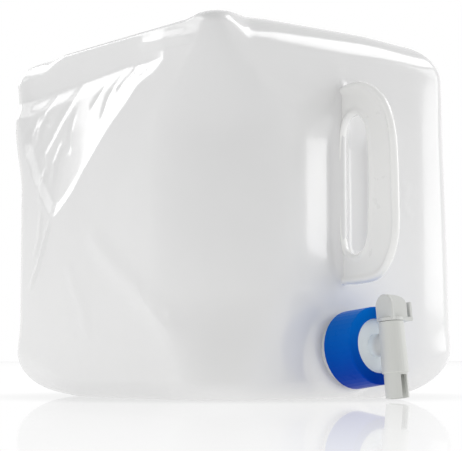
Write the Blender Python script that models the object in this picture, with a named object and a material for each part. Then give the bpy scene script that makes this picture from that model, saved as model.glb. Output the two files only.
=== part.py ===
"""A collapsible water carrier: a blown film cube with a carry handle, a threaded neck and a turning tap.

The origin is the centre of the flat base on the ground, +Z is up, and -Y is the face with the handle
and the tap. Lengths are in metres. The neck, its screw ring and the tap are built in a frame of their
own, whose origin is where the neck's centre line leaves the front face. It leans back a little, as the
full bag holds it. In that frame -Y points out of the neck, and a reach is a distance along -Y.
"""

import math

import bmesh
import bpy
from mathutils import Matrix, Vector

# Bag
BAG_WIDTH = 0.272
BAG_DEPTH = 0.298
BAG_HEIGHT = 0.306
BAG_EDGE_RADIUS = 0.0235
BAG_CROWN = 0.003
FILM = 0.0012
EDGE_STEPS = 3
PANEL_LINE_COUNT = 2
WALL_LINE_COUNT = 11
LINE_SPACING = 0.003

# The full bag isn't even: its left front edge is blown rounder, most of all at its middle, and its right
# side leans in towards the top
NEAR_EDGE_RADIUS = 0.043
NEAR_EDGE_SWELL = 0.040
NEAR_LINE_COUNT = 5
RIGHT_LEAN = 0.009
RIGHT_LEAN_START = 0.050

# The fold where the left side tucks in under its top edge, between two creases that meet low down on it.
# It ends short of the rear film by its rim. The margins are from the front, the rear and the top.
FOLD_FRONT_MARGIN = 0.001
FOLD_RIM = 0.004
FOLD_NODE_MARGIN = 0.065
FOLD_NODE_HEIGHT = 0.155
FOLD_TOP_MARGIN = 0.003
FOLD_VALLEY_MARGIN = 0.028
FOLD_CORNER_MARGIN = 0.023
FOLD_DEPTH = 0.0115
FOLD_RUN = 0.022
FOLD_LINE_COUNT = 7
FOLD_FRONT_SHARES = (
    (0.0, 1.0), (0.30, 0.82), (0.43, 0.73), (0.48, 0.65),
    (0.65, 0.49), (0.77, 0.30), (0.87, 0.15), (1.0, 0.0),
)
FOLD_REAR_SHARES = ((0.0, 0.0), (0.14, 0.31), (0.35, 0.61), (0.58, 0.86), (0.76, 0.96), (1.0, 1.0))

# The gap between pieces that touch, and how far a cutter runs past what it cuts
SEAT_GAP = 0.0003
OVERRUN = 0.002

# Carry handle, and the hand slot through it
HANDLE_BOTTOM = 0.0935
HANDLE_TOP_MARGIN = 0.046
HANDLE_REACH = 0.067
HANDLE_WEB = 0.0044
HANDLE_BEAD = 0.0070
SLOT_RIB = 0.004
SLOT_WIDTH = 0.031
SLOT_BOTTOM_MARGIN = 0.0246
SLOT_TOP_MARGIN = 0.0278
HANDLE_STEPS = 20
HANDLE_CURVE_SHARES = (
    (0.0, 1.0), (0.25, 0.995), (0.48, 0.972), (0.75, 0.878), (0.95, 0.71),
    (1.0, 0.48), (1.0, 0.26), (0.95, 0.13), (0.75, 0.055), (0.48, 0.012), (0.0, 0.0),
)
# Across the grip, from the slot's edge to the outer edge: how far over, and how much of the bead's height
HANDLE_SECTION_SHARES = (
    (0.0, 0.5), (0.05, 0.86), (0.14, 1.0), (0.23, 0.86), (0.30, 0.0),
    (0.70, 0.0), (0.77, 0.86), (0.86, 1.0), (0.95, 0.86), (1.0, 0.5),
)
# Powers of the slot's cosine and sine, as shares of a true oval's, that blunt its sides and its ends
SLOT_SIDE_POWER_SHARE = 0.55
SLOT_END_POWER_SHARE = 0.85

# Finger recesses, one on each side of the handle's web, set in from the handle's two ends
RECESS_INNER_X = 0.005
RECESS_WIDTH = 0.044
RECESS_BOTTOM_MARGIN = 0.014
RECESS_TOP_MARGIN = 0.034
RECESS_DEPTH = 0.013
RECESS_SLOPE = 0.012
RECESS_SLOPE_STEPS = 3

# Neck, in reach and radius
NECK_LEAN = math.radians(6.5)
SHOULDER_RADIUS = 0.032
SHOULDER_STEP = 0.003
SHOULDER_REACH = 0.0105
NECK_RADIUS = 0.0264
NECK_WALL = 0.0018
NECK_CHAMFER = 0.0008
RING_CLEARANCE_BEHIND = 0.003

# Thread between the neck and the screw ring
THREAD_PITCH = 0.006
THREAD_HEIGHT = 0.0016
THREAD_CLEARANCE = 0.0005
THREAD_LENGTH = 0.0165
THREAD_FADE_SHARE = 0.5
THREAD_ROWS_PER_TURN = 6
ROUND_STEPS = 40

# Screw ring
RING_LENGTH = 0.0305
RING_RADIUS = 0.0320
RING_DRAFT = 0.0005
RING_ROUND = 0.0014
RING_ROUND_STEPS = 3
RING_LIP = 0.003
RING_HOLE_RADIUS = 0.022

# Gasket and tap flange, clamped between the ring's lip and the neck's rim
GASKET_THICKNESS = 0.002
GASKET_WIDTH = 0.0038
FLANGE_THICKNESS = 0.0025
FLANGE_RADIUS = 0.0264
SPIGOT_CLEARANCE = 0.0024
SPIGOT_LENGTH = 0.006
SPIGOT_WALL = 0.0016

# Tap body
BARREL_RADIUS = 0.0092
BARREL_BORE_RADIUS = 0.0060
SLEEVE_CLEARANCE = 0.0052
SLEEVE_TOP_RADIUS = 0.0100
SLEEVE_BOTTOM_RADIUS = 0.0108
SLEEVE_RISE = 0.0171
SLEEVE_DROP = 0.0237
SLEEVE_BORE_RADIUS = 0.0076
SLEEVE_FLOOR = 0.0020
OUTLET_RADIUS = 0.0094
OUTLET_BORE_RADIUS = 0.0070
OUTLET_LENGTH = 0.0198
OUTLET_SLOT_WIDTH = 0.0062
OUTLET_GROUND_CLEARANCE = 0.0010
TAP_STEPS = 28

# Tap stem and its key
STEM_CLEARANCE = 0.0003
STEM_PORT_RADIUS = 0.0046
STEM_PORT_STEPS = 24
STEM_WATERWAY_RADIUS = 0.0046
STEM_WATERWAY_ROOF = 0.0020
KEY_HUB_RADIUS = 0.0098
KEY_HUB_THICKNESS = 0.0028
KEY_HEIGHT = 0.0185
KEY_ARCH_THICKNESS = 0.0030
KEY_ARCH_WIDTH = 0.0190
KEY_ARCH_OFFSET = 0.0052
KEY_ARCH_STEPS = 12
KEY_WING_THICKNESS = 0.0090
KEY_WING_LENGTH = 0.0150
KEY_WING_DROP = 0.0075
KEY_WING_STEPS = 6
KEY_WING_POWER_SHARE = 0.7
KEY_TAB_LENGTH = 0.0205
KEY_TAB_THICKNESS = 0.0028
KEY_TAB_HEIGHT = 0.0125
KEY_TAB_WIDTH = 0.0100
KEY_FOOT_THICKNESS = 0.0026
KEY_EDGE = 0.0005

# Derived sizes
SPLIT_FRONT = -(BAG_DEPTH / 2 - BAG_EDGE_RADIUS)
SPLIT_REAR = -SPLIT_FRONT
NEAR_EDGE_MAX_RADIUS = NEAR_EDGE_RADIUS + NEAR_EDGE_SWELL
FOLD_START_Y = FOLD_FRONT_MARGIN - BAG_DEPTH / 2
FOLD_END_Y = SPLIT_REAR - FOLD_RIM
FOLD_NODE_Y = BAG_DEPTH / 2 - FOLD_NODE_MARGIN
FOLD_TOP = BAG_HEIGHT - FOLD_TOP_MARGIN
FOLD_VALLEY = BAG_HEIGHT - FOLD_VALLEY_MARGIN
FOLD_CORNER_HEIGHT = BAG_HEIGHT - FOLD_CORNER_MARGIN
HANDLE_HEIGHT = BAG_HEIGHT - HANDLE_TOP_MARGIN - HANDLE_BOTTOM
SLOT_HEIGHT = HANDLE_HEIGHT - SLOT_BOTTOM_MARGIN - SLOT_TOP_MARGIN
SLOT_CENTRE_REACH = SLOT_RIB + SLOT_WIDTH / 2
SLOT_CENTRE_HEIGHT = HANDLE_BOTTOM + SLOT_BOTTOM_MARGIN + SLOT_HEIGHT / 2
RECESS_OUTER_X = RECESS_INNER_X + RECESS_WIDTH
RECESS_BOTTOM = HANDLE_BOTTOM + RECESS_BOTTOM_MARGIN
RECESS_TOP = HANDLE_BOTTOM + HANDLE_HEIGHT - RECESS_TOP_MARGIN
RING_REAR = SHOULDER_REACH + RING_CLEARANCE_BEHIND
RING_FRONT = RING_REAR + RING_LENGTH
SLEEVE_REACH = RING_FRONT + SLEEVE_CLEARANCE + SLEEVE_BOTTOM_RADIUS
OUTLET_END = -(SLEEVE_DROP + OUTLET_LENGTH)
NECK_HEIGHT = (
    OUTLET_GROUND_CLEARANCE
    + OUTLET_RADIUS * math.sin(NECK_LEAN)
    - OUTLET_END * math.cos(NECK_LEAN)
    - SLEEVE_REACH * math.sin(NECK_LEAN)
)
NECK_CENTRE = Vector((0, -BAG_DEPTH / 2, NECK_HEIGHT))
FLANGE_FRONT = RING_FRONT - RING_LIP - SEAT_GAP
FLANGE_REAR = FLANGE_FRONT - FLANGE_THICKNESS
GASKET_FRONT = FLANGE_REAR - SEAT_GAP
GASKET_REAR = GASKET_FRONT - GASKET_THICKNESS
NECK_RIM = GASKET_REAR - SEAT_GAP
NECK_BORE_RADIUS = NECK_RADIUS - NECK_WALL
SPIGOT_RADIUS = NECK_BORE_RADIUS - SPIGOT_CLEARANCE
RING_BORE_RADIUS = NECK_RADIUS + THREAD_HEIGHT + THREAD_CLEARANCE
THREAD_FRONT = NECK_RIM - NECK_CHAMFER * 2
THREAD_REAR = THREAD_FRONT - THREAD_LENGTH
STEM_RADIUS = SLEEVE_BORE_RADIUS - STEM_CLEARANCE
STEM_BOTTOM = -SLEEVE_DROP + SLEEVE_FLOOR + STEM_CLEARANCE
HUB_BOTTOM = SLEEVE_RISE + STEM_CLEARANCE
HUB_TOP = HUB_BOTTOM + KEY_HUB_THICKNESS
KEY_TOP = HUB_TOP + KEY_HEIGHT


def remove_everything():
    """Leave the scene empty."""
    for item in list(bpy.data.objects):
        bpy.data.objects.remove(item)


def material(name, colour, roughness, metallic=0.0, alpha=1.0):
    """A plain Principled material."""
    made = bpy.data.materials.new(name)
    made.use_nodes = True
    shader = made.node_tree.nodes["Principled BSDF"]
    shader.inputs["Base Color"].default_value = (*colour, 1.0)
    shader.inputs["Roughness"].default_value = roughness
    shader.inputs["Metallic"].default_value = metallic
    shader.inputs["Alpha"].default_value = alpha
    return made


def add_object(name, bm, parent=None, smooth_angle=math.radians(35)):
    """Turn a bmesh into an object with outward faces, shaded smooth."""
    bmesh.ops.recalc_face_normals(bm, faces=bm.faces)
    mesh = bpy.data.meshes.new(name)
    bm.to_mesh(mesh)
    bm.free()
    mesh.shade_smooth()
    mesh.set_sharp_from_angle(angle=smooth_angle)
    made = bpy.data.objects.new(name, mesh)
    bpy.context.scene.collection.objects.link(made)
    made.parent = parent
    return made


def add_empty(name, location, rotation=(0, 0, 0), parent=None):
    """An empty that carries moving pieces on their axis."""
    made = bpy.data.objects.new(name, None)
    bpy.context.scene.collection.objects.link(made)
    made.location = location
    made.rotation_euler = rotation
    made.parent = parent
    return made


def paint(piece, name, colour, roughness, alpha=1.0):
    """Give a piece a material of its own."""
    piece.data.materials.append(material(name, colour, roughness, alpha=alpha))


def hide_cutter(cutter):
    """A cutter shapes other pieces and isn't one itself."""
    cutter.hide_render = True
    cutter.display_type = "WIRE"
    return cutter


def add_boolean(piece, cutter, operation):
    """Cut, join or trim a piece with a cutter."""
    boolean = piece.modifiers.new(cutter.name, "BOOLEAN")
    boolean.operation = operation
    boolean.solver = "EXACT"
    boolean.object = hide_cutter(cutter)


def add_bevel(piece, width, segments=2):
    """Round a piece's sharp edges."""
    bevel = piece.modifiers.new("rounded_edges", "BEVEL")
    bevel.width = width
    bevel.segments = segments
    bevel.limit_method = "ANGLE"
    bevel.angle_limit = math.radians(50)


# Shapes that several pieces share


def smooth_step(value, start, end):
    """0 before start, 1 after end, and a smooth climb between them."""
    share = min(1.0, max(0.0, (value - start) / (end - start)))
    return share * share * (3 - 2 * share)


def edge_lines(half):
    """Grid lines over one rounded edge, at even angles of its arc, from where it starts out to half."""
    start = half - BAG_EDGE_RADIUS
    angles = [math.radians(45) * step / EDGE_STEPS for step in range(EDGE_STEPS + 1)]
    return [start + BAG_EDGE_RADIUS * math.tan(angle) for angle in angles]


def mirrored_lines(outer, inner=()):
    """The same lines on both sides of zero, in order, with one at zero."""
    positive = sorted(set(outer) | set(inner))
    return [-line for line in reversed(positive)] + [0.0] + positive


def spread(low, high, count):
    """Evenly spaced lines from low to high, ends left out."""
    return [low + (high - low) * step / (count + 1) for step in range(1, count + 1)]


def merged_lines(fixed, others):
    """The fixed lines, and the others that aren't too close to a line already there, in order."""
    kept = sorted(set(fixed))
    for line in others:
        if min(abs(line - other) for other in kept) > LINE_SPACING:
            kept.append(line)
    return sorted(kept)


def grid_shell(xs, ys, zs, open_front=False, open_rear=False):
    """The surface of a box as a grid with lines at xs, ys and zs, its front or rear side left off."""
    bm = bmesh.new()
    corners = {}
    last_x = len(xs) - 1
    last_y = len(ys) - 1
    last_z = len(zs) - 1

    def add_face(*places):
        for i, j, k in places:
            if (i, j, k) not in corners:
                corners[i, j, k] = bm.verts.new((xs[i], ys[j], zs[k]))
        bm.faces.new([corners[place] for place in places])

    for i in (0, last_x):
        for j in range(last_y):
            for k in range(last_z):
                add_face((i, j, k), (i, j + 1, k), (i, j + 1, k + 1), (i, j, k + 1))
    for k in (0, last_z):
        for i in range(last_x):
            for j in range(last_y):
                add_face((i, j, k), (i + 1, j, k), (i + 1, j + 1, k), (i, j + 1, k))
    for j, is_open in ((0, open_front), (last_y, open_rear)):
        if is_open:
            continue
        for i in range(last_x):
            for k in range(last_z):
                add_face((i, j, k), (i + 1, j, k), (i + 1, j, k + 1), (i, j, k + 1))
    return bm


def read_shares(shares, value):
    """Read a table of (from, to) shares at a value, straight between its rows."""
    for (start, low), (end, high) in zip(shares, shares[1:]):
        if value <= end:
            return low + (high - low) * max(0.0, value - start) / (end - start)
    return shares[-1][1]


def fold_depth(y, z):
    """How far the left side is tucked in at a point by the fold under its top edge."""
    along_front = (y - FOLD_START_Y) / (FOLD_NODE_Y - FOLD_START_Y)
    front_rise = (FOLD_TOP - FOLD_NODE_HEIGHT) * read_shares(FOLD_FRONT_SHARES, max(0.0, along_front))
    up = min(z, FOLD_VALLEY)
    up_rear = (up - FOLD_NODE_HEIGHT) / (FOLD_CORNER_HEIGHT - FOLD_NODE_HEIGHT)
    rear_run = (FOLD_END_Y - FOLD_NODE_Y) * read_shares(FOLD_REAR_SHARES, max(0.0, up_rear))
    inside = min(up - FOLD_NODE_HEIGHT - front_rise, FOLD_NODE_Y + rear_run - y)
    if inside <= 0 or up <= FOLD_NODE_HEIGHT:
        return 0.0
    depth = FOLD_DEPTH * (1 - math.exp(-inside / FOLD_RUN))
    return depth * min(1.0, max(0.0, (FOLD_TOP - z) / (FOLD_TOP - FOLD_VALLEY)))


def blow_near_edge(place):
    """Draw the left front vertical edge in from its corner to a rounder curve, in plan."""
    middle = 1 - smooth_step(abs(place.z / BAG_HEIGHT * 2 - 1), 0.45, 0.95)
    radius = NEAR_EDGE_RADIUS + NEAR_EDGE_SWELL * middle
    centre = Vector((radius - BAG_WIDTH / 2, radius - BAG_DEPTH / 2))
    away = centre - place.xy
    if min(away) <= 0:
        return
    direction = away.normalized()
    corner = radius - BAG_EDGE_RADIUS
    total = corner * (direction.x + direction.y)
    reach = total + math.sqrt(max(0.0, total ** 2 - 2 * corner ** 2 + BAG_EDGE_RADIUS ** 2))
    if min(direction) * reach < corner:
        reach = radius / max(direction)
    place.xy = centre - away * (radius / reach)


def bend_to_full_bag(bm):
    """Give the rounded box the uneven edge, the lean and the fold of the bag as it stands full."""
    for vert in bm.verts:
        blow_near_edge(vert.co)
        if vert.co.x > 0:
            lean = RIGHT_LEAN * smooth_step(vert.co.z, RIGHT_LEAN_START, BAG_HEIGHT)
            vert.co.x -= lean * vert.co.x / (BAG_WIDTH / 2)
        side_start = BAG_WIDTH / 2 - BAG_EDGE_RADIUS
        beside = smooth_step(-vert.co.x, side_start, side_start + BAG_EDGE_RADIUS / 2)
        vert.co.x += fold_depth(vert.co.y, vert.co.z) * beside


def round_and_crown(bm):
    """Bend a box grid about the bag's middle into the bag's rounded, slightly swollen form."""
    half = Vector((BAG_WIDTH / 2, BAG_DEPTH / 2, BAG_HEIGHT / 2))
    core_half = half - Vector((1, 1, 1)) * BAG_EDGE_RADIUS
    for vert in bm.verts:
        place = vert.co.copy()
        core = Vector([max(-c, min(c, p)) for p, c in zip(place, core_half)])
        outward = (place - core).normalized()
        rounded = core + outward * BAG_EDGE_RADIUS
        swell = Vector()
        for axis in range(3):
            others = [other for other in range(3) if other != axis]
            hold = math.prod(max(0.0, 1 - (rounded[other] / half[other]) ** 2) for other in others)
            swell[axis] = outward[axis] * BAG_CROWN * hold
        swell.y = max(0.0, swell.y)
        swell.z = max(0.0, swell.z)
        vert.co = rounded + swell
        vert.co.z += half.z
    bend_to_full_bag(bm)


def film_object(name, bm):
    """A film shell: the outer surface given, thickened inwards."""
    shell = add_object(name, bm)
    solidify = shell.modifiers.new("film", "SOLIDIFY")
    solidify.thickness = FILM
    solidify.offset = -1
    solidify.use_even_offset = True
    return shell


def ring_of_loops(loops, closed_section=True):
    """Join equal loops of points into a skin: a closed ring section, or a solid with a cap at each end."""
    bm = bmesh.new()
    rows = [[bm.verts.new(point) for point in loop] for loop in loops]
    count = len(rows[0])
    pairs = list(zip(rows, rows[1:]))
    if closed_section:
        pairs.append((rows[-1], rows[0]))
    for row, following in pairs:
        for step in range(count):
            after = (step + 1) % count
            bm.faces.new((row[step], row[after], following[after], following[step]))
    if not closed_section:
        bm.faces.new(rows[0])
        bm.faces.new(rows[-1])
    return bm


def loop_about_neck(radius, reach, steps=ROUND_STEPS):
    """A circle about the neck's centre line. The angle turns from +X towards +Z."""
    points = []
    for step in range(steps):
        angle = 2 * math.pi * step / steps
        radius_here = radius(angle) if callable(radius) else radius
        reach_here = reach(angle) if callable(reach) else reach
        points.append(Vector((radius_here * math.cos(angle), -reach_here, radius_here * math.sin(angle))))
    return points


def loop_about_stem(radius, height, steps=TAP_STEPS):
    """A circle about the stem's upright axis."""
    angles = [2 * math.pi * step / steps for step in range(steps)]
    return [Vector((radius * math.cos(angle), radius * math.sin(angle), height)) for angle in angles]


def prism(outline, thickness, across):
    """Extrude a flat outline to both sides of its plane. across is the axis it is extruded along."""
    bm = bmesh.new()
    side = Vector(across) * (thickness / 2)
    near = [bm.verts.new(Vector(point) - side) for point in outline]
    far = [bm.verts.new(Vector(point) + side) for point in outline]
    bm.faces.new(near)
    bm.faces.new(reversed(far))
    count = len(outline)
    for step in range(count):
        after = (step + 1) % count
        bm.faces.new((near[step], near[after], far[after], far[step]))
    return bm


def curve_through(points, steps):
    """Evenly spaced points on a smooth curve through the given ones, both ends included."""
    padded = [points[0] * 2 - points[1]] + points + [points[-1] * 2 - points[-2]]
    fine = []
    for index in range(1, len(padded) - 2):
        before, start, end, after = padded[index - 1:index + 3]
        for part in range(steps):
            t = part / steps
            fine.append(
                (start * 2 + (end - before) * t + (before * 2 - start * 5 + end * 4 - after) * t ** 2
                 + (start * 3 - before - end * 3 + after) * t ** 3) / 2
            )
    fine.append(points[-1])
    lengths = [0.0]
    for start, end in zip(fine, fine[1:]):
        lengths.append(lengths[-1] + (end - start).length)
    even = []
    for step in range(steps + 1):
        wanted = lengths[-1] * step / steps
        passed = [i for i, reached in enumerate(lengths) if reached >= wanted] + [len(lengths) - 1]
        index = max(1, passed[0])
        span = lengths[index] - lengths[index - 1]
        even.append(fine[index - 1].lerp(fine[index], min(1.0, (wanted - lengths[index - 1]) / span)))
    return even


# Bag film


def recess_depth(x, z):
    """How far the front film is pressed in at a point, by the two finger recesses."""
    beside = abs(x)
    over = smooth_step(beside, RECESS_INNER_X, RECESS_INNER_X + RECESS_SLOPE)
    over *= smooth_step(-beside, -RECESS_OUTER_X, -RECESS_OUTER_X + RECESS_SLOPE)
    over *= smooth_step(z, RECESS_BOTTOM, RECESS_BOTTOM + RECESS_SLOPE)
    over *= smooth_step(-z, -RECESS_TOP, -RECESS_TOP + RECESS_SLOPE)
    return RECESS_DEPTH * over


def slope_lines(start, end):
    """Grid lines down one slope of a recess, both ends included."""
    shares = [step / RECESS_SLOPE_STEPS for step in range(RECESS_SLOPE_STEPS + 1)]
    return [start + (end - start) * share for share in shares]


def lines_across():
    """Grid lines over the bag's width. All its film has the same ones, so that its pieces meet."""
    start = BAG_WIDTH / 2 - NEAR_EDGE_MAX_RADIUS
    recess = slope_lines(RECESS_INNER_X, RECESS_INNER_X + RECESS_SLOPE)
    recess += slope_lines(RECESS_OUTER_X - RECESS_SLOPE, RECESS_OUTER_X)
    fixed = mirrored_lines(edge_lines(BAG_WIDTH / 2), recess)
    near = [-line for line in spread(start, BAG_WIDTH / 2 - BAG_EDGE_RADIUS, NEAR_LINE_COUNT)]
    return merged_lines(fixed, near + [line for line in mirrored_lines(bag_lines(BAG_WIDTH / 2))])


def lines_up():
    """Grid lines over the bag's height, from its middle. All its film has the same ones."""
    half = BAG_HEIGHT / 2
    fixed = mirrored_lines(edge_lines(half))
    fixed += [line - half for line in slope_lines(RECESS_BOTTOM, RECESS_BOTTOM + RECESS_SLOPE)]
    fixed += [line - half for line in slope_lines(RECESS_TOP - RECESS_SLOPE, RECESS_TOP)]
    fixed.remove(0.0)
    fold = [FOLD_VALLEY, FOLD_TOP] + spread(FOLD_NODE_HEIGHT, FOLD_VALLEY, FOLD_LINE_COUNT)
    return merged_lines(fixed, [line - half for line in fold] + mirrored_lines(bag_lines(half)))


def lines_back(start, end):
    """Grid lines along the bag's depth between two places, both included, with one where the fold ends."""
    near_start = NEAR_EDGE_MAX_RADIUS - BAG_DEPTH / 2
    near = spread(SPLIT_FRONT, near_start, NEAR_LINE_COUNT)
    inner = [line for line in near + spread(start, end, WALL_LINE_COUNT) if start < line < end]
    return merged_lines([start, FOLD_END_Y, end], inner)


def bag_lines(half):
    """Grid lines over the whole of one side of the bag, from its middle outwards."""
    return edge_lines(half) + spread(0, half - BAG_EDGE_RADIUS, PANEL_LINE_COUNT)


def bag_front_panel():
    """The front film with its finger recesses, rounded edges and the hole that the neck stands in."""
    ys = [-line for line in reversed(edge_lines(BAG_DEPTH / 2))]
    bm = grid_shell(lines_across(), ys, lines_up(), open_rear=True)
    round_and_crown(bm)
    for vert in bm.verts:
        vert.co.y += recess_depth(vert.co.x, vert.co.z)
    panel = film_object("bag_front_panel", bm)
    hole = loop_about_neck(SHOULDER_RADIUS + SEAT_GAP, 0)
    hole_loops = []
    for y in (-BAG_DEPTH / 2 - OVERRUN, SPLIT_FRONT + OVERRUN):
        hole_loops.append([Vector((0, y, NECK_HEIGHT)) + point for point in hole])
    neck_hole = add_object("neck_hole_cutter", ring_of_loops(hole_loops, closed_section=False))
    add_boolean(panel, neck_hole, "DIFFERENCE")
    paint(panel, "front_film", (0.83, 0.84, 0.84), 0.25, alpha=0.75)
    return panel


def bag_side_walls():
    """The four walls of film between the front and the rear: left, right, top and the base it stands on."""
    ys = lines_back(SPLIT_FRONT + SEAT_GAP, SPLIT_REAR - SEAT_GAP)
    bm = grid_shell(lines_across(), ys, lines_up(), open_front=True, open_rear=True)
    round_and_crown(bm)
    walls = film_object("bag_side_walls", bm)
    paint(walls, "wall_film", (0.83, 0.84, 0.84), 0.25, alpha=0.75)
    return walls


def bag_rear_panel(parent):
    """The rear film, which travels towards the front as the bag is emptied and flattened."""
    ys = edge_lines(BAG_DEPTH / 2)
    bm = grid_shell(lines_across(), ys, lines_up(), open_front=True)
    round_and_crown(bm)
    bmesh.ops.translate(bm, verts=bm.verts, vec=-parent.location)
    panel = film_object("bag_rear_panel", bm)
    panel.parent = parent
    paint(panel, "rear_film", (0.83, 0.84, 0.84), 0.25, alpha=0.75)
    return panel


# Carry handle


def handle_point(reach, height):
    """A point in the plane of the handle."""
    return Vector((0, -BAG_DEPTH / 2 - reach, height))


def slot_edge(steps, side):
    """Half of the slot's rim, from its top to its bottom: side is 1 away from the bag and -1 next to it."""
    points = []
    for step in range(steps + 1):
        angle = math.pi / 2 - math.pi * step / steps
        across = abs(math.cos(angle)) ** SLOT_SIDE_POWER_SHARE * SLOT_WIDTH / 2
        up = abs(math.sin(angle)) ** SLOT_END_POWER_SHARE * SLOT_HEIGHT / 2
        up = math.copysign(up, math.sin(angle))
        points.append(handle_point(SLOT_CENTRE_REACH + side * across, SLOT_CENTRE_HEIGHT + up))
    return points


def carry_handle():
    """A flat D of film pinched together, with a thick bead round its rim and round the hand slot."""
    outer = []
    for reach_share, height_share in HANDLE_CURVE_SHARES:
        reach = SEAT_GAP + (HANDLE_REACH - SEAT_GAP) * reach_share
        outer.append(handle_point(reach, HANDLE_BOTTOM + HANDLE_HEIGHT * height_share))
    outer_front = curve_through(outer, HANDLE_STEPS)
    outer_back = [outer[-1].lerp(outer[0], step / HANDLE_STEPS) for step in range(HANDLE_STEPS + 1)]
    inner_front = slot_edge(HANDLE_STEPS, 1)
    inner_back = list(reversed(slot_edge(HANDLE_STEPS, -1)))
    rim = outer_front[:-1] + outer_back[:-1]
    slot = inner_front[:-1] + inner_back[:-1]
    web = Vector((HANDLE_WEB / 2, 0, 0))
    bead = Vector(((HANDLE_BEAD - HANDLE_WEB) / 2, 0, 0))
    loops = []
    for side, section in ((1, HANDLE_SECTION_SHARES), (-1, tuple(reversed(HANDLE_SECTION_SHARES)))):
        for over_share, bead_share in section:
            lift = (web + bead * bead_share) * side
            loops.append([start.lerp(end, over_share) + lift for start, end in zip(slot, rim)])
    handle = add_object("carry_handle", ring_of_loops(loops))
    paint(handle, "handle_film", (0.77, 0.77, 0.76), 0.3)
    return handle


# Neck and screw ring


def thread_wave(reach, angle):
    """1 on the ridge of the right-handed thread and 0 in its groove."""
    return 0.5 * (1 + math.cos(2 * math.pi * reach / THREAD_PITCH - angle))


def thread_hold(reach):
    """How much of the thread stands at a reach: it fades in and out at its ends."""
    fade = THREAD_PITCH * THREAD_FADE_SHARE
    fade_in = smooth_step(reach, THREAD_REAR, THREAD_REAR + fade)
    fade_out = smooth_step(-reach, -THREAD_FRONT, fade - THREAD_FRONT)
    return fade_in * fade_out


def neck_thread_loop(reach):
    """A loop of the neck's outer side, where its thread stands out from it."""
    rise = THREAD_HEIGHT * thread_hold(reach)
    return loop_about_neck(lambda angle: NECK_RADIUS + rise * thread_wave(reach, angle), reach)


def ring_thread_loop(reach, carrier_reach):
    """A loop of the ring's bore, where its thread stands in, seen from the ring's own origin."""
    rise = THREAD_HEIGHT * thread_hold(reach)
    return loop_about_neck(
        lambda angle: RING_BORE_RADIUS - rise * (1 - thread_wave(reach, angle)),
        reach - carrier_reach,
    )


def thread_rows():
    """The reaches at which the thread's skin has a row of points."""
    count = round(THREAD_LENGTH / THREAD_PITCH * THREAD_ROWS_PER_TURN)
    return [THREAD_REAR + THREAD_LENGTH * row / count for row in range(count + 1)]


def film_reach(height):
    """Reach of the front film's outer side at a height above the ground, over its rounded lower edge."""
    below = max(0.0, BAG_EDGE_RADIUS - height)
    return math.sqrt(max(0.0, BAG_EDGE_RADIUS ** 2 - below ** 2)) - BAG_EDGE_RADIUS


def shoulder_loop(radius, inset):
    """A loop of the neck's foot that follows the front film, inset from its outer side."""
    points = []
    for point in loop_about_neck(radius, 0):
        world = Vector((point.x, inset - film_reach(NECK_HEIGHT + point.z), point.z))
        points.append(Matrix.Rotation(NECK_LEAN, 3, "X") @ world)
    return points


def bag_neck(parent):
    """The neck: a foot in the front film, a shoulder, and a tube with a thread outside."""
    loops = [
        shoulder_loop(SHOULDER_RADIUS, 0),
        shoulder_loop(SHOULDER_RADIUS - SHOULDER_STEP, 0),
        loop_about_neck(NECK_RADIUS + NECK_CHAMFER, SHOULDER_REACH - NECK_WALL),
        loop_about_neck(NECK_RADIUS, SHOULDER_REACH),
    ]
    loops += [neck_thread_loop(reach) for reach in thread_rows()]
    loops += [
        loop_about_neck(NECK_RADIUS, NECK_RIM - NECK_CHAMFER),
        loop_about_neck(NECK_RADIUS - NECK_CHAMFER, NECK_RIM),
        loop_about_neck(NECK_BORE_RADIUS, NECK_RIM),
        loop_about_neck(NECK_BORE_RADIUS, SHOULDER_REACH - NECK_WALL),
        shoulder_loop(SHOULDER_RADIUS - SHOULDER_STEP - FILM, FILM),
        shoulder_loop(SHOULDER_RADIUS, FILM),
    ]
    neck = add_object("bag_neck", ring_of_loops(loops), parent)
    paint(neck, "neck_film", (0.80, 0.81, 0.81), 0.3)
    return neck


def cap_ring(parent, reach):
    """The screw ring: a skirt with the matching thread inside, and a lip over the tap's flange."""
    loops = [
        loop_about_neck(RING_BORE_RADIUS, RING_REAR - reach),
        loop_about_neck(RING_RADIUS - RING_ROUND / 2, RING_REAR - reach),
        loop_about_neck(RING_RADIUS, RING_REAR + RING_ROUND / 2 - reach),
    ]
    for step in range(RING_ROUND_STEPS + 1):
        angle = math.radians(90) * step / RING_ROUND_STEPS
        radius_here = RING_RADIUS - RING_DRAFT - RING_ROUND * (1 - math.cos(angle))
        loops.append(loop_about_neck(radius_here, RING_FRONT - RING_ROUND * (1 - math.sin(angle)) - reach))
    loops += [
        loop_about_neck(RING_HOLE_RADIUS + RING_ROUND / 2, RING_FRONT - reach),
        loop_about_neck(RING_HOLE_RADIUS, RING_FRONT - RING_ROUND / 2 - reach),
        loop_about_neck(RING_HOLE_RADIUS, RING_FRONT - RING_LIP - reach),
        loop_about_neck(RING_BORE_RADIUS, RING_FRONT - RING_LIP - reach),
    ]
    loops += [ring_thread_loop(row, reach) for row in reversed(thread_rows())]
    ring = add_object("cap_ring", ring_of_loops(loops), parent)
    paint(ring, "ring_blue", (0.0, 0.07, 0.36), 0.3)
    return ring


def neck_gasket(parent):
    """The flat rubber washer between the neck's rim and the tap's flange."""
    inner = FLANGE_RADIUS - GASKET_WIDTH
    loops = [
        loop_about_neck(inner, GASKET_REAR),
        loop_about_neck(FLANGE_RADIUS, GASKET_REAR),
        loop_about_neck(FLANGE_RADIUS, GASKET_FRONT),
        loop_about_neck(inner, GASKET_FRONT),
    ]
    gasket = add_object("neck_gasket", ring_of_loops(loops), parent)
    paint(gasket, "gasket_rubber", (0.55, 0.55, 0.55), 0.6)
    return gasket


# Tap


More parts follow.
